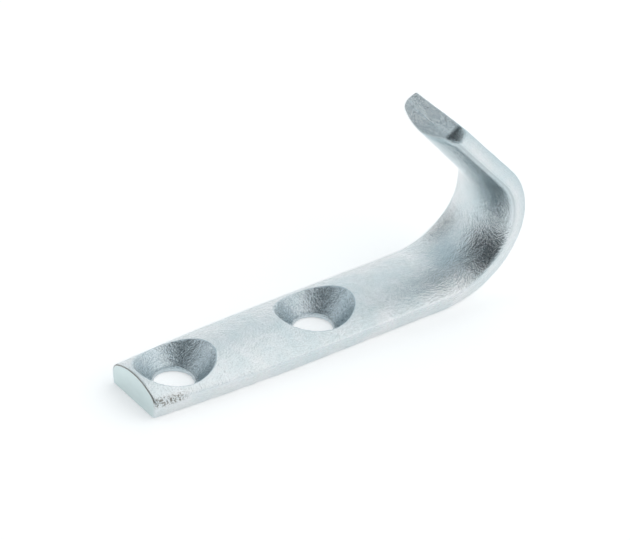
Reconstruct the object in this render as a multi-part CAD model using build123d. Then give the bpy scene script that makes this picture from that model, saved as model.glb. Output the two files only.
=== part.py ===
from build123d import *
from math import cos, radians, sin, tan
import os

# Forged rope hook, one solid, in millimetres.
# A domed bar lies along X with its flat back on z = 0, and its far end bends up and back
# over itself. The origin is on the back, midway between the two screw holes.

# Bar, measured along X; its centre line runs slightly to one side of the holes
HOLE_PITCH = 36.0
END_MARGIN = 10.5
BEND_MARGIN = 28.1
BAR_OFFSET = -0.35

# Bend and tip; the radii are those of the flat back, on the outside of the bend
LOWER_RADIUS = 22.0
LOWER_TURN = 49.0
UPPER_RADIUS = 17.2
UPPER_TURN = 82.8
TIP_LENGTH = 20.9

# Width of the flat back, and thickness over the crown
END_WIDTH = 15.3
NECK_WIDTH = 17.6
BAR_WIDTH = 18.8
TIP_WIDTH = 17.1
END_THICKNESS = 7.1
NECK_THICKNESS = 7.0
BAR_THICKNESS = 6.9
TIP_THICKNESS = 6.4

# Distances from the cut end at which the bar reaches its neck width and its full width
NECK_STATION = 18.0
FULL_STATION = 42.0

# Cross-section: flanks lean outward to a ridge, and the front is an arc over the crown.
# The arc is tighter and the ridges are rounder towards the cut end.
FLANK_LEAN = 0.95
END_DOME_RADIUS = 14.5
NECK_DOME_RADIUS = 17.0
BAR_DOME_RADIUS = 18.2
END_RIDGE_ROUND = 1.5
NECK_RIDGE_ROUND = 1.0
BAR_RIDGE_ROUND = 0.7

# Screw holes, countersunk from the domed front
HOLE_DIAMETER = 8.4
HOLE_LAND = 1.2
COUNTERSINK_ANGLE = 82.0

# Bevel across one corner of the tip, in plan
TIP_BEVEL_ACROSS = 2.3
TIP_BEVEL_ALONG = 2.0

END_X = -HOLE_PITCH / 2 - END_MARGIN
BEND_X = HOLE_PITCH / 2 + BEND_MARGIN
TIP_TURN = LOWER_TURN + UPPER_TURN


def along(turn):
    """Unit direction of the bar where it has turned by an angle."""
    return Vector(cos(radians(turn)), 0, sin(radians(turn)))


def inward(turn):
    """Unit direction from the flat back to the crown, where the bar has turned by an angle."""
    return Vector(-sin(radians(turn)), 0, cos(radians(turn)))


# Points on the centre line of the flat back, and the centres of the two bends
BAR_END = Vector(BEND_X, BAR_OFFSET, 0)
LOWER_CENTRE = BAR_END + inward(0) * LOWER_RADIUS
UPPER_START = LOWER_CENTRE - inward(LOWER_TURN) * LOWER_RADIUS
UPPER_CENTRE = UPPER_START + inward(LOWER_TURN) * UPPER_RADIUS
TIP_START = UPPER_CENTRE - inward(TIP_TURN) * UPPER_RADIUS
TIP_END = TIP_START + along(TIP_TURN) * TIP_LENGTH


def cross_section(
    point,
    turn,
    back_width=BAR_WIDTH,
    thickness=BAR_THICKNESS,
    dome_radius=BAR_DOME_RADIUS,
    ridge_round=BAR_RIDGE_ROUND,
    stock=0.0,
):
    """The bar's D-shaped section at a point of its back; stock is extra depth below the back."""
    half_ridge = back_width / 2 + FLANK_LEAN
    ridge_height = thickness - dome_radius + (dome_radius**2 - half_ridge**2) ** 0.5
    half_foot = back_width / 2 - stock * FLANK_LEAN / ridge_height
    outline = make_face(
        [
            Line((-half_foot, -stock), (half_foot, -stock)),
            Line((half_foot, -stock), (half_ridge, ridge_height)),
            ThreePointArc((half_ridge, ridge_height), (0, thickness), (-half_ridge, ridge_height)),
            Line((-half_ridge, ridge_height), (-half_foot, -stock)),
        ]
    )
    ridges = outline.vertices().sort_by(Axis.Y)[2:]
    outline = fillet(ridges, radius=ridge_round)
    return Plane(origin=point, x_dir=(0, 1, 0), z_dir=along(turn)) * outline


def straight_bar():
    """The mounting bar, narrowing and thinning towards its cut end, with a true flat back."""
    end = (END_WIDTH, END_THICKNESS, END_DOME_RADIUS, END_RIDGE_ROUND)
    neck = (NECK_WIDTH, NECK_THICKNESS, NECK_DOME_RADIUS, NECK_RIDGE_ROUND)
    full = (BAR_WIDTH, BAR_THICKNESS, BAR_DOME_RADIUS, BAR_RIDGE_ROUND)
    stations = (
        (END_X, end),
        (END_X + NECK_STATION, neck),
        (END_X + FULL_STATION, full),
        (BEND_X, full),
    )
    sections = [cross_section((x, BAR_OFFSET, 0), 0, *form, stock=1.0) for x, form in stations]
    ground_off = Pos(0, 0, -BAR_WIDTH) * Box(4 * BEND_X, 2 * BAR_WIDTH, 2 * BAR_WIDTH)
    return loft(sections) - ground_off


def bend(point, turn, centre, angle):
    """Bar of full section turned through an angle about a bend's centre."""
    section = cross_section(point, turn)
    return revolve(section, axis=Axis(centre, (0, -1, 0)), revolution_arc=angle)


def tip_run():
    """The straight end of the hook, narrowing to its square-cut tip."""
    root = cross_section(TIP_START, TIP_TURN)
    end = cross_section(TIP_END, TIP_TURN, TIP_WIDTH, TIP_THICKNESS, ridge_round=END_RIDGE_ROUND)
    return loft([root, end], ruled=True)


def screw_hole(x):
    """Space of one screw: a plain land through the back and a countersink above it."""
    radius = HOLE_DIAMETER / 2
    depth = BAR_THICKNESS
    sink = Cone(radius, radius + depth * tan(radians(COUNTERSINK_ANGLE / 2)), depth)
    land = Cylinder(radius, 2 * BAR_THICKNESS)
    return Pos(x, 0, 0) * (land + Pos(0, 0, HOLE_LAND + depth / 2) * sink)


def tip_bevel():
    """Wedge that takes the -Y corner off the tip."""
    corner = TIP_END - Vector(0, TIP_WIDTH / 2 + FLANK_LEAN, 0)
    plane = Plane(origin=corner, x_dir=(0, 1, 0), z_dir=inward(TIP_TURN) * -1)
    spare = 1.0
    wedge = Polyline(
        (TIP_BEVEL_ACROSS, 0),
        (TIP_BEVEL_ACROSS, spare),
        (-spare, spare),
        (-spare, -TIP_BEVEL_ALONG),
        (0, -TIP_BEVEL_ALONG),
        close=True,
    )
    return extrude(plane * make_face(wedge), amount=2 * TIP_THICKNESS, both=True)


def rope_hook():
    """The whole forging."""
    body = straight_bar()
    body += bend(BAR_END, 0, LOWER_CENTRE, LOWER_TURN)
    body += bend(UPPER_START, LOWER_TURN, UPPER_CENTRE, UPPER_TURN)
    body += tip_run()
    for x in (-HOLE_PITCH / 2, HOLE_PITCH / 2):
        body -= screw_hole(x)
    return body - tip_bevel()


os.makedirs("parts", exist_ok=True)
export_step(rope_hook(), "parts/rope_hook.step")
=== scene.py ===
import math

import bpy
from mathutils import Matrix, Vector


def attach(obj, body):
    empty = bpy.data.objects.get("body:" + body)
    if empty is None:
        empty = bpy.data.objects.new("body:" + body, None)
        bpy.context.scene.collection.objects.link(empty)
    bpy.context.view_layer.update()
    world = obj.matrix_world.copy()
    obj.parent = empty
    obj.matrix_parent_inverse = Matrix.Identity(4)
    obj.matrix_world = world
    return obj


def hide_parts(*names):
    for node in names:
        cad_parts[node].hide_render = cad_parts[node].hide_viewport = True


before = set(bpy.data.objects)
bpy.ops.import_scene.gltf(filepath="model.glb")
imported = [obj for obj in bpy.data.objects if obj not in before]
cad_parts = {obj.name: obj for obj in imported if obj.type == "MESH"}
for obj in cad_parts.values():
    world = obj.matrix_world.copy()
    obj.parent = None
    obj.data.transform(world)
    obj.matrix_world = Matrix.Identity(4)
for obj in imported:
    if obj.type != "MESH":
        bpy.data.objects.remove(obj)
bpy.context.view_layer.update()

MM = 0.001

# ---------------------------------------------------------------- the forging's own sizes, mm

HOLE_PITCH = 36.0
END_MARGIN = 10.5
BEND_MARGIN = 28.1
BAR_OFFSET = -0.35
LOWER_RADIUS = 22.0
LOWER_TURN = 49.0
UPPER_RADIUS = 17.2
UPPER_TURN = 82.8
TIP_LENGTH = 20.9
END_WIDTH = 15.3
BAR_WIDTH = 18.8
TIP_WIDTH = 17.1
END_THICKNESS = 7.1
BAR_THICKNESS = 6.9
TIP_THICKNESS = 6.4
FLANK_LEAN = 0.95
END_DOME_RADIUS = 14.5
BAR_DOME_RADIUS = 18.2
END_RIDGE_ROUND = 1.8
BAR_RIDGE_ROUND = 0.55
HOLE_RADIUS = 4.2
HOLE_LAND = 1.2
COUNTERSINK_ANGLE = 82.0
BEVEL_ACROSS = 1.2          # at the flat back; it is wider at the ridge
BEVEL_SPREAD = 1.2
BEVEL_ALONG = 1.8
TIP_DROOP = 1.0
TIP_DROOP_ALONG = 1.1
TAPER_LENGTH = 42.0         # from the cut end to the full width
HOOK_SOFTENING = 20.0       # way into the bend over which the ridges grow rounder
UNEVENNESS = 0.16


# ---------------------------------------------------------------- arithmetic with node sockets

class Num:
    """A number in a node tree, with ordinary arithmetic; each step adds one Math node."""

    def __init__(self, tree, socket):
        self.tree = tree
        self.socket = socket

    def join(self, operation, *others):
        """This number combined with others by one Math node."""
        maths = self.tree.nodes.new("ShaderNodeMath")
        maths.operation = operation
        for slot, value in zip(maths.inputs, (self,) + others):
            plug(self.tree, value, slot)
        return Num(self.tree, maths.outputs[0])

    def __add__(self, other):
        return self.join("ADD", other)

    def __sub__(self, other):
        return self.join("SUBTRACT", other)

    def __mul__(self, other):
        return self.join("MULTIPLY", other)

    def __truediv__(self, other):
        return self.join("DIVIDE", other)

    def __neg__(self):
        return self * -1.0

    __radd__ = __add__
    __rmul__ = __mul__

    def __rsub__(self, other):
        return -self + other

    def between(self, low, high):
        """This number held between two limits."""
        return self.join("MAXIMUM", low).join("MINIMUM", high)

    def ramp(self, start, end):
        """0 up to start, 1 from end on, and straight in between."""
        return ((self - start) / (end - start)).between(0.0, 1.0)


def plug(tree, value, slot):
    """Feeds a socket from a Num, another socket or a plain value."""
    if isinstance(value, Num):
        tree.links.new(value.socket, slot)
    elif isinstance(value, bpy.types.NodeSocket):
        tree.links.new(value, slot)
    else:
        slot.default_value = value


def add_node(tree, kind, settings=None, **inputs):
    """Adds a node, sets its properties, and feeds its inputs by name."""
    node = tree.nodes.new(kind)
    for name, value in (settings or {}).items():
        setattr(node, name, value)
    for name, value in inputs.items():
        plug(tree, value, node.inputs[name.replace("_", " ")])
    return node


# ---------------------------------------------------------------- the forged bar, as a node tree

BAR_INPUTS = {
    "Straight Length": (END_MARGIN + HOLE_PITCH + BEND_MARGIN) * MM,
    "Lower Radius": LOWER_RADIUS * MM,
    "Lower Turn": math.radians(LOWER_TURN),
    "Upper Radius": UPPER_RADIUS * MM,
    "Upper Turn": math.radians(UPPER_TURN),
    "Tip Length": TIP_LENGTH * MM,
    "End X": -(HOLE_PITCH / 2 + END_MARGIN) * MM,
    "Bar Offset": BAR_OFFSET * MM,
    "End Width": END_WIDTH * MM,
    "Bar Width": BAR_WIDTH * MM,
    "Tip Width": TIP_WIDTH * MM,
    "Taper Length": TAPER_LENGTH * MM,
    "End Thickness": END_THICKNESS * MM,
    "Bar Thickness": BAR_THICKNESS * MM,
    "Tip Thickness": TIP_THICKNESS * MM,
    "Flank Lean": FLANK_LEAN * MM,
    "End Dome Radius": END_DOME_RADIUS * MM,
    "Bar Dome Radius": BAR_DOME_RADIUS * MM,
    "End Ridge Round": END_RIDGE_ROUND * MM,
    "Bar Ridge Round": BAR_RIDGE_ROUND * MM,
    "Bevel Across": BEVEL_ACROSS * MM,
    "Bevel Spread": BEVEL_SPREAD * MM,
    "Bevel Along": BEVEL_ALONG * MM,
    "Tip Droop": TIP_DROOP * MM,
    "Hole Pitch": HOLE_PITCH * MM,
    "Hole Radius": HOLE_RADIUS * MM,
    "Hole Land": HOLE_LAND * MM,
    "Countersink Slope": math.tan(math.radians(COUNTERSINK_ANGLE / 2)),
    "Unevenness": UNEVENNESS * MM,
}
ROWS = 400
CAP_ROWS = 18
# cells round the section: back, far flank, far ridge, dome, near ridge, near flank
SECTION_CELLS = (50, 9, 5, 60, 5, 9)
MERGE_DISTANCE = 0.002 * MM
CUTTER_SIDES = 144


def new_tree(name, numbers):
    """An empty geometry tree with named number inputs, a material input and one geometry output."""
    tree = bpy.data.node_groups.new(name, "GeometryNodeTree")
    tree.interface.new_socket("Geometry", in_out="INPUT", socket_type="NodeSocketGeometry")
    for label, value in numbers.items():
        item = tree.interface.new_socket(label, in_out="INPUT", socket_type="NodeSocketFloat")
        item.default_value = value
    tree.interface.new_socket("Finish", in_out="INPUT", socket_type="NodeSocketMaterial")
    tree.interface.new_socket("Geometry", in_out="OUTPUT", socket_type="NodeSocketGeometry")
    return tree


def marked(tree, mesh, marks):
    """Writes named values on the points, for the finish to read."""
    for name, value in marks.items():
        store = add_node(tree, "GeometryNodeStoreNamedAttribute", {"data_type": "FLOAT", "domain": "POINT"},
                         Geometry=mesh, Name=name, Value=value)
        mesh = store.outputs[0]
    return mesh


def line_step(amount, start, end):
    """What a straight stretch adds to a coordinate, at a fraction of its length."""
    return (end - start) * amount


def arc_step(amount, start, corner, end):
    """What a rounded corner adds to a coordinate, at a fraction of its length."""
    return (corner - start) * amount * (1.0 - amount) * 2.0 + (end - start) * amount * amount


def route_lengths(size):
    """Distances along the bar at which the lower bend, the upper bend and the tip end."""
    lower_end = size["Straight Length"] + size["Lower Radius"] * size["Lower Turn"]
    bend_end = lower_end + size["Upper Radius"] * size["Upper Turn"]
    return lower_end, bend_end, bend_end + size["Tip Length"]


def route_place(size, travelled):
    """Where the flat back is at a distance along the bar, how far it has turned, and the way into the tip."""
    lower_end, bend_end, _ = route_lengths(size)
    straight = travelled.between(0.0, size["Straight Length"])
    lower_way = (travelled - size["Straight Length"]).between(0.0, lower_end - size["Straight Length"])
    lower = lower_way / size["Lower Radius"]
    upper = (travelled - lower_end).between(0.0, bend_end - lower_end) / size["Upper Radius"]
    tip = (travelled - bend_end).join("MAXIMUM", 0.0)
    first = size["Lower Turn"]
    last = size["Lower Turn"] + size["Upper Turn"]
    x = (size["End X"] + straight + size["Lower Radius"] * lower.join("SINE")
         + size["Upper Radius"] * ((first + upper).join("SINE") - first.join("SINE"))
         + tip * last.join("COSINE"))
    z = (size["Lower Radius"] * (1.0 - lower.join("COSINE"))
         + size["Upper Radius"] * (first.join("COSINE") - (first + upper).join("COSINE"))
         + tip * last.join("SINE"))
    return x, z, lower + upper, tip


def section_form(size, travelled, tip):
    """Width, thickness, dome radius and ridge rounding of the section at a distance along the bar."""
    near_end = 1.0 - travelled.ramp(0.0, size["Taper Length"])
    near_end = near_end * near_end
    near_tip = tip / size["Tip Length"]
    width = (size["Bar Width"] - (size["Bar Width"] - size["End Width"]) * near_end
             - (size["Bar Width"] - size["Tip Width"]) * near_tip)
    thickness = (size["Bar Thickness"] - (size["Bar Thickness"] - size["End Thickness"]) * near_end
                 - (size["Bar Thickness"] - size["Tip Thickness"]) * near_tip)
    radius = size["Bar Dome Radius"] + (size["End Dome Radius"] - size["Bar Dome Radius"]) * near_end
    hooked = travelled.ramp(size["Straight Length"], size["Straight Length"] + HOOK_SOFTENING * MM)
    softness = near_end.join("MAXIMUM", 0.4 * hooked + 0.4 * near_tip * near_tip)
    rounding = size["Bar Ridge Round"] + (size["End Ridge Round"] - size["Bar Ridge Round"]) * softness
    return width, thickness, radius, rounding


def section_place(size, travelled, form, stage):
    """Across and height of a point of the section, and the across of its point on the domed front."""
    width, thickness, radius, rounding = form
    total = route_lengths(size)[2]
    bevel = travelled.ramp(total - size["Bevel Along"], total)
    droop = size["Tip Droop"] * travelled.ramp(total - TIP_DROOP_ALONG * MM, total)
    far_foot = width / 2.0
    near_foot = far_foot - size["Bevel Across"] * bevel
    far_ridge = far_foot + size["Flank Lean"]
    near_ridge = far_ridge - (size["Bevel Across"] + size["Bevel Spread"]) * bevel

    def crown(across):
        """Height of the domed front at a distance from the centre line; its near tip edge droops."""
        drop = droop * (across / far_foot).between(-1.0, 0.0)
        return thickness - radius + (radius * radius - across * across).join("SQRT") + drop

    corners = []
    for foot, ridge, inward in ((far_foot, far_ridge, -1.0), (-near_foot, -near_ridge, 1.0)):
        top = crown(ridge)
        part = 1.0 - rounding / top
        below = (foot + (ridge - foot) * part, top * part)
        beyond = ridge + rounding * inward
        corners.append((below, (ridge, top), (beyond, crown(beyond))))
    far, near = corners
    start = -near_foot
    dome_across = far[2][0] + line_step(stage[3], far[2][0], near[2][0])
    across = start + line_step(stage[0], start, far_foot) + line_step(stage[1], far_foot, far[0][0])
    across = across + arc_step(stage[2], far[0][0], far[1][0], far[2][0]) + dome_across - far[2][0]
    across = across + arc_step(stage[4], near[2][0], near[1][0], near[0][0])
    across = across + line_step(stage[5], near[0][0], start)
    height = far[0][1] * stage[1] + arc_step(stage[2], far[0][1], far[1][1], far[2][1])
    height = height + crown(dome_across) - far[2][1]
    height = height + arc_step(stage[4], near[2][1], near[1][1], near[0][1]) - near[0][1] * stage[5]
    return across, height, dome_across


def swept_bar(tree, size):
    """A closed D-section skin, bent along its route, with both ends filled to their centres."""
    columns = sum(SECTION_CELLS) + 1
    rows = ROWS + 2 * CAP_ROWS
    grid = add_node(tree, "GeometryNodeMeshGrid", Size_X=rows - 1.0, Size_Y=columns - 1.0,
                    Vertices_X=rows, Vertices_Y=columns)
    position = add_node(tree, "GeometryNodeInputPosition")
    cell = add_node(tree, "ShaderNodeSeparateXYZ", Vector=position.outputs[0])
    row = Num(tree, cell.outputs["X"]) + (rows - 1) / 2
    column = Num(tree, cell.outputs["Y"]) + (columns - 1) / 2
    travelled = row.ramp(CAP_ROWS, CAP_ROWS + ROWS - 1) * route_lengths(size)[2]
    cells = [sum(SECTION_CELLS[:count]) for count in range(len(SECTION_CELLS) + 1)]
    stage = [column.ramp(first, last) for first, last in zip(cells, cells[1:])]

    spine_x, spine_z, turned, tip = route_place(size, travelled)
    form = section_form(size, travelled, tip)
    across, height, dome_across = section_place(size, travelled, form, stage)
    fill = row.ramp(0.0, CAP_ROWS) * (1.0 - row.ramp(rows - 1 - CAP_ROWS, rows - 1))
    middle = form[1] / 2.0
    across = across * fill
    height = middle + (height - middle) * fill
    place = add_node(tree, "ShaderNodeCombineXYZ", X=spine_x - turned.join("SINE") * height,
                     Y=across + size["Bar Offset"], Z=spine_z + turned.join("COSINE") * height)
    marks = {
        "run": travelled,
        "across": dome_across,
        "flank": stage[1] * (1.0 - stage[2]) + stage[4] * (1.0 - stage[5]),
        "dome": stage[2] * (1.0 - stage[4]),
        "near_ridge": stage[4] * (1.0 - stage[4]) * 4.0,
        "end_face": 1.0 - row.ramp(CAP_ROWS - 2.0, CAP_ROWS),
        "tip_face": row.ramp(rows - 1.0 - CAP_ROWS, rows + 1.0 - CAP_ROWS),
    }
    flat = marked(tree, grid.outputs["Mesh"], marks)
    bent = add_node(tree, "GeometryNodeSetPosition", Geometry=flat, Position=place.outputs[0])
    closed = add_node(tree, "GeometryNodeMergeByDistance", Geometry=bent.outputs[0],
                      Distance=MERGE_DISTANCE)
    return closed.outputs[0]


def screw_space(tree, size, side):
    """The space of one countersunk screw, as two closed cutters."""
    depth = size["Bar Thickness"] * 2.0
    shank = add_node(tree, "GeometryNodeMeshCylinder", Vertices=CUTTER_SIDES, Side_Segments=20,
                     Radius=size["Hole Radius"], Depth=depth)
    rise = size["Bar Thickness"] * 1.2
    head = add_node(tree, "GeometryNodeMeshCone", Vertices=CUTTER_SIDES, Side_Segments=32,
                    Radius_Bottom=size["Hole Radius"],
                    Radius_Top=size["Hole Radius"] + rise * size["Countersink Slope"], Depth=rise)
    place = add_node(tree, "ShaderNodeCombineXYZ", X=size["Hole Pitch"] * (side / 2.0))
    head_place = add_node(tree, "ShaderNodeCombineXYZ", X=size["Hole Pitch"] * (side / 2.0),
                          Z=size["Hole Land"])
    cutters = []
    for mesh, where in ((shank, place), (head, head_place)):
        moved = add_node(tree, "GeometryNodeTransform", Geometry=mesh.outputs["Mesh"],
                         Translation=where.outputs[0])
        cutters.append(moved.outputs[0])
    return cutters


def drilled(tree, size, body):
    """The body with both screw spaces cut out."""
    cut = tree.nodes.new("GeometryNodeMeshBoolean")
    cut.operation = "DIFFERENCE"
    cut.solver = "EXACT"
    tree.links.new(body, cut.inputs["Mesh 1"])
    for side in (-1.0, 1.0):
        for cutter in screw_space(tree, size, side):
            tree.links.new(cutter, cut.inputs["Mesh 2"])
    return cut.outputs["Mesh"]


def skin_marked(tree, size, mesh):
    """Marks the outer skin with 1 and the walls of the screw holes with 0."""
    position = add_node(tree, "GeometryNodeInputPosition")
    point = add_node(tree, "ShaderNodeSeparateXYZ", Vector=position.outputs[0])
    x, y, z = (Num(tree, socket) for socket in point.outputs)
    wall = size["Hole Radius"] + (z - size["Hole Land"]).join("MAXIMUM", 0.0) * size["Countersink Slope"]
    gaps = []
    for side in (-0.5, 0.5):
        reach = x - size["Hole Pitch"] * side
        gaps.append((reach * reach + y * y).join("SQRT") - wall)
    gap = gaps[0].join("MINIMUM", gaps[1])
    above_holes = z.ramp(9.0 * MM, 10.0 * MM)
    skin = gap.ramp(0.03 * MM, 0.22 * MM).join("MAXIMUM", above_holes)
    return marked(tree, mesh, {"skin": skin})


def softened(tree, size, mesh):
    """Rounds every sharp edge by easing only the points close to one."""
    angle = add_node(tree, "GeometryNodeInputMeshEdgeAngle")
    sharp = Num(tree, angle.outputs["Unsigned Angle"]).ramp(math.radians(12), math.radians(25))
    on_edges = add_node(tree, "GeometryNodeFieldOnDomain", {"domain": "EDGE"}, Value=sharp)
    spread = add_node(tree, "GeometryNodeBlurAttribute", Value=on_edges.outputs[0], Iterations=2)
    near = (Num(tree, spread.outputs[0]) * 3.0).between(0.0, 1.0)
    position = add_node(tree, "GeometryNodeInputPosition")
    ease = tree.nodes.new("GeometryNodeBlurAttribute")
    ease.data_type = "FLOAT_VECTOR"
    tree.links.new(position.outputs[0], ease.inputs["Value"])
    plug(tree, near, ease.inputs["Weight"])
    ease.inputs["Iterations"].default_value = 3
    moved = add_node(tree, "GeometryNodeSetPosition", Geometry=mesh, Position=ease.outputs[0])
    return moved.outputs[0]


def uneven(tree, size, mesh):
    """Sinks the skin a little here and there, as hammering and blasting leave it."""
    position = add_node(tree, "GeometryNodeInputPosition")
    noise = add_node(tree, "ShaderNodeTexNoise", Vector=position.outputs[0], Scale=0.35 / MM,
                     Detail=2.0)
    face = add_node(tree, "GeometryNodeInputNamedAttribute", {"data_type": "FLOAT"}, Name="tip_face")
    skin = 1.0 - Num(tree, face.outputs["Attribute"])
    sunk = Num(tree, noise.outputs["Fac"]) * size["Unevenness"] * -1.0 * skin
    normal = add_node(tree, "GeometryNodeInputNormal")
    push = add_node(tree, "ShaderNodeVectorMath", {"operation": "SCALE"}, Scale=sunk)
    tree.links.new(normal.outputs[0], push.inputs[0])
    moved = add_node(tree, "GeometryNodeSetPosition", Geometry=mesh, Offset=push.outputs[0])
    return moved.outputs[0]


def hook_tree():
    """The whole forging: sweep, screw holes, soft edges, forged unevenness and finish."""
    tree = new_tree("forged_hook", BAR_INPUTS)
    entry = tree.nodes.new("NodeGroupInput")
    size = {label: Num(tree, entry.outputs[label]) for label in BAR_INPUTS}
    body = skin_marked(tree, size, drilled(tree, size, swept_bar(tree, size)))
    body = uneven(tree, size, softened(tree, size, body))
    shaded = add_node(tree, "GeometryNodeSetShadeSmooth", Geometry=body)
    real = add_node(tree, "GeometryNodeRealizeInstances", Geometry=shaded.outputs[0])
    coated = add_node(tree, "GeometryNodeSetMaterial", Geometry=real.outputs[0],
                      Material=entry.outputs["Finish"])
    leave = tree.nodes.new("NodeGroupOutput")
    tree.links.new(coated.outputs[0], leave.inputs[0])
    return tree


def grown(name, tree, finish):
    """Runs a tree on an empty mesh and keeps the result as a plain mesh object."""
    seed = bpy.data.objects.new(name, bpy.data.meshes.new(name))
    bpy.context.collection.objects.link(seed)
    modifier = seed.modifiers.new("build", "NODES")
    modifier.node_group = tree
    for item in tree.interface.items_tree:
        if item.item_type == "SOCKET" and item.in_out == "INPUT" and item.name == "Finish":
            modifier[item.identifier] = finish
    graph = bpy.context.evaluated_depsgraph_get()
    mesh = bpy.data.meshes.new_from_object(seed.evaluated_get(graph))
    seed.modifiers.clear()
    seed.data = mesh
    return seed


# ---------------------------------------------------------------- finishes

def new_material(name):
    """An empty node material with its output and Principled shader."""
    material = bpy.data.materials.new(name)
    material.use_nodes = True
    return material, material.node_tree, material.node_tree.nodes["Principled BSDF"]


def mark(tree, name):
    """A value that the mesh carries."""
    node = tree.nodes.new("ShaderNodeAttribute")
    node.attribute_name = name
    return Num(tree, node.outputs["Fac"])


def grain(tree, place, per_mm, detail=2.0, roughness=0.5):
    """Noise of about this many grains in a millimetre, from 0 to 1."""
    noise = add_node(tree, "ShaderNodeTexNoise", Vector=place, Scale=per_mm / MM,
                     Detail=detail, Roughness=roughness)
    return Num(tree, noise.outputs["Fac"])


def blend(tree, amount, low, high):
    """Mix of two colours."""
    node = tree.nodes.new("ShaderNodeMix")
    node.data_type = "RGBA"
    plug(tree, amount, node.inputs[0])
    plug(tree, low, node.inputs[6])
    plug(tree, high, node.inputs[7])
    return node.outputs[2]


def zinc_plate():
    """Bright zinc over a pebbled forged skin, worn through at the cut end's edge."""
    material, tree, shader = new_material("zinc_plated_steel")
    place = tree.nodes.new("ShaderNodeTexCoord").outputs["Object"]
    skin = mark(tree, "skin")
    run = mark(tree, "run") / MM
    across = mark(tree, "across") / MM
    flank = mark(tree, "flank").between(0.0, 1.0) * skin
    end_face = mark(tree, "end_face") * skin
    tip_face = mark(tree, "tip_face") * skin
    sink = 1.0 - skin
    bend = run.ramp(72.0, 88.0)

    cloud = grain(tree, place, 0.12, 3.0, 0.6)
    patches = grain(tree, place, 0.35, 2.0, 0.5)
    pebbles = grain(tree, place, 2.5, 3.0, 0.62)
    lumps = grain(tree, place, 0.9, 2.0, 0.5)
    fleck = grain(tree, place, 3.0, 3.0, 0.7)

    pale = blend(tree, patches.ramp(0.35, 0.65), (0.725, 0.76, 0.765, 1), (0.765, 0.785, 0.80, 1))
    zinc = blend(tree, cloud.ramp(0.40, 0.68), pale, (0.66, 0.73, 0.75, 1))
    # painted shade: the near half of the dome, from the upper bend through the tip, is tinted a darker
    # blue-grey to stand in for the shade on that side
    near_side_painted_shade = run.ramp(96.0, 112.0) * across.ramp(5.0, -2.0) * (1.0 - flank)
    zinc = blend(tree, near_side_painted_shade * 0.6, zinc, (0.42, 0.53, 0.57, 1))
    zinc = blend(tree, sink * 0.35, zinc, (0.52, 0.64, 0.71, 1))
    zinc = blend(tree, end_face * 0.7, zinc, (0.64, 0.755, 0.75, 1))
    zinc = blend(tree, tip_face * 0.5, zinc, (0.74, 0.78, 0.80, 1))
    # painted shade: the hollows of the pebble bump are darkened, more so on the tip face and in the
    # countersinks
    pebble_hollow_shade = pebbles.ramp(0.50, 0.34) * (0.12 + 0.6 * tip_face + 0.10 * sink)
    # the dark specks are random flecks of the plating's own tone together with the painted shade in the
    # pebble hollows
    flecks_and_hollow_shade = (fleck.ramp(0.56, 0.72) * (0.22 + 0.3 * tip_face) + pebble_hollow_shade).between(0.0, 1.0)
    flecks_and_hollow_shade = flecks_and_hollow_shade * (1.0 - 0.9 * end_face) * (1.0 - 0.5 * flank)
    zinc = blend(tree, flecks_and_hollow_shade, zinc, (0.26, 0.30, 0.32, 1))
    parting = mark(tree, "near_ridge").ramp(0.86, 0.98) * run.ramp(90.0, 112.0) * (1.0 - tip_face)
    zinc = blend(tree, parting * 0.45, zinc, (0.34, 0.40, 0.42, 1))
    worn = worn_edge(tree, run, end_face, skin, pebbles)
    zinc = blend(tree, worn, zinc, (0.17, 0.145, 0.105, 1))
    plug(tree, zinc, shader.inputs["Base Color"])
    plug(tree, 1.0 - worn * 0.7, shader.inputs["Metallic"])

    dull = 0.13 + pebbles * 0.09 + 0.12 * end_face + 0.12 * flank + worn * 0.3
    plug(tree, dull, shader.inputs["Roughness"])

    depth = 0.60 - 0.08 * bend + 0.15 * sink + 0.9 * tip_face
    depth = (depth * (1.0 - 0.5 * flank) - 1.2 * end_face).between(0.06, 1.4)
    height = (pebbles * 0.7 + lumps * 0.3) * depth
    bump = add_node(tree, "ShaderNodeBump", Height=height, Distance=0.38 * MM, Strength=1.0)
    tree.links.new(bump.outputs[0], shader.inputs["Normal"])
    return material


def worn_edge(tree, run, end_face, skin, pebbles):
    """Where zinc has rubbed off: a thin line round the cut end's domed edge, ticks on the near ridge."""
    dome = mark(tree, "dome")
    line = run.ramp(0.45, 0.15) * end_face.ramp(0.75, 0.2) * dome.ramp(0.3, 0.7) * skin
    line = line * (0.30 + 0.5 * pebbles.ramp(0.40, 0.56))
    near_ridge = mark(tree, "near_ridge").ramp(0.2, 0.8)
    ticks = near_ridge * run.ramp(8.5, 6.0) * skin * pebbles.ramp(0.48, 0.58) * (1.0 - end_face) * 0.75
    return line.join("MAXIMUM", ticks)


def floor_paint():
    """White paper that reads as pure white and still takes a shadow."""
    material, tree, shader = new_material("white_floor")
    tree.nodes.remove(shader)
    path = tree.nodes.new("ShaderNodeLightPath")
    seen = Num(tree, path.outputs["Is Camera Ray"]) + Num(tree, path.outputs["Is Glossy Ray"])
    seen = (seen + Num(tree, path.outputs["Is Transmission Ray"])).between(0.0, 1.0)
    paper = add_node(tree, "ShaderNodeBsdfDiffuse", Color=(0.9, 0.9, 0.9, 1))
    lift = add_node(tree, "ShaderNodeEmission", Strength=seen * FLOOR_LIFT)
    both = tree.nodes.new("ShaderNodeAddShader")
    tree.links.new(paper.outputs[0], both.inputs[0])
    tree.links.new(lift.outputs[0], both.inputs[1])
    tree.links.new(both.outputs[0], tree.nodes["Material Output"].inputs["Surface"])
    return material


# ---------------------------------------------------------------- the studio

FLOOR_LIFT = 0.42
TENT_STRENGTH = 1.36
TENT_COLOUR = (0.35, 0.42, 0.455)
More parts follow.
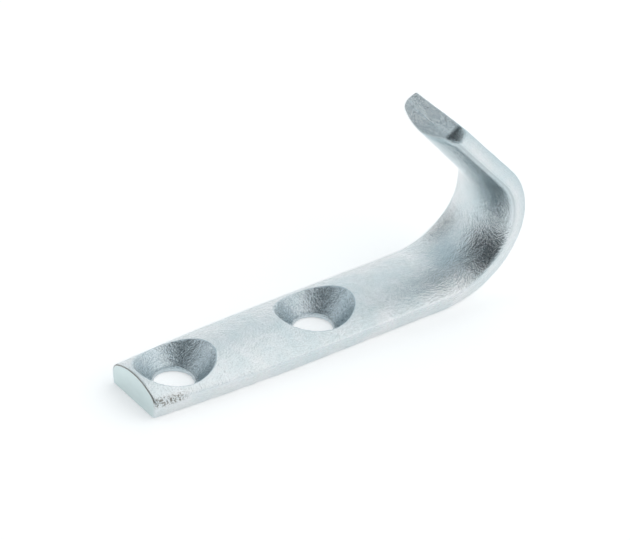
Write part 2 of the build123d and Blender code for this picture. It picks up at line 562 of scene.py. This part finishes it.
# azimuth, elevation, full within, gone beyond (degrees), colour
TENT_PATCHES = (
    (150.0, 0.0, 16.0, 42.0, (0.74, 0.77, 0.78)),
    (-140.0, 25.0, 12.0, 34.0, (0.68, 0.72, 0.74)),
    (-173.0, 6.0, 9.0, 20.0, (0.02, 0.03, 0.035)),
    (55.0, 45.0, 36.0, 60.0, (0.83, 0.84, 0.84)),
    (100.0, 20.0, 20.0, 45.0, (0.80, 0.84, 0.85)),
    (-38.0, 40.0, 18.0, 32.0, (0.045, 0.05, 0.053)),
    (-78.0, 35.0, 23.0, 39.0, (0.035, 0.038, 0.042)),
)

VIEW_AZIMUTH = -37.37
VIEW_ELEVATION = 34.87
VIEW_ROLL = 2.74
VIEW_DISTANCE = 801.5 * MM
VIEW_LENS = 218.5
AIM = Vector((13.29, -5.91, 20.91)) * MM


def toward(azimuth, elevation):
    """Unit direction from the object towards a point at this azimuth and elevation."""
    turn, lift = math.radians(azimuth), math.radians(elevation)
    return Vector((math.sin(turn) * math.cos(lift), -math.cos(turn) * math.cos(lift), math.sin(lift)))


def add_camera():
    """A long lens that looks down at the hook from the front left."""
    back = toward(VIEW_AZIMUTH, VIEW_ELEVATION)
    turn = math.radians(VIEW_AZIMUTH)
    level = Vector((math.cos(turn), math.sin(turn), 0))
    basis = Matrix((level, back.cross(level), back)).transposed().to_4x4()
    lens = bpy.data.cameras.new("camera")
    lens.lens = VIEW_LENS
    lens.sensor_width = 36.0
    lens.clip_start = 0.01
    camera = bpy.data.objects.new("camera", lens)
    place = Matrix.Translation(AIM + back * VIEW_DISTANCE)
    camera.matrix_world = place @ basis @ Matrix.Rotation(math.radians(VIEW_ROLL), 4, "Z")
    bpy.context.collection.objects.link(camera)
    bpy.context.scene.camera = camera


def add_floor():
    """A wide white sheet under the hook."""
    reach = 2.0
    mesh = bpy.data.meshes.new("floor")
    corners = [(-reach, -reach, 0), (reach, -reach, 0), (reach, reach, 0), (-reach, reach, 0)]
    mesh.from_pydata(corners, [], [(0, 1, 2, 3)])
    floor = bpy.data.objects.new("floor", mesh)
    floor.data.materials.append(floor_paint())
    bpy.context.collection.objects.link(floor)


def add_light():
    """A tent of soft light, made of patches of colour in set directions."""
    world = bpy.data.worlds.new("tent")
    bpy.context.scene.world = world
    world.use_nodes = True
    tree = world.node_tree
    direction = tree.nodes.new("ShaderNodeTexCoord").outputs["Generated"]
    colour = (*TENT_COLOUR, 1)
    for azimuth, elevation, inner, outer, patch in TENT_PATCHES:
        facing = add_node(tree, "ShaderNodeVectorMath", {"operation": "DOT_PRODUCT"})
        tree.links.new(direction, facing.inputs[0])
        facing.inputs[1].default_value = toward(azimuth, elevation)
        start, end = math.cos(math.radians(outer)), math.cos(math.radians(inner))
        amount = Num(tree, facing.outputs["Value"]).ramp(start, end)
        colour = blend(tree, amount, colour, (*patch, 1))
    plug(tree, colour, tree.nodes["Background"].inputs["Color"])
    tree.nodes["Background"].inputs["Strength"].default_value = TENT_STRENGTH


add_camera()
add_floor()
add_light()
hook = grown("forged_hook", hook_tree(), zinc_plate())
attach(hook, "root")
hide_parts("rope_hook")

view = bpy.context.scene.view_settings
view.view_transform = "Standard"
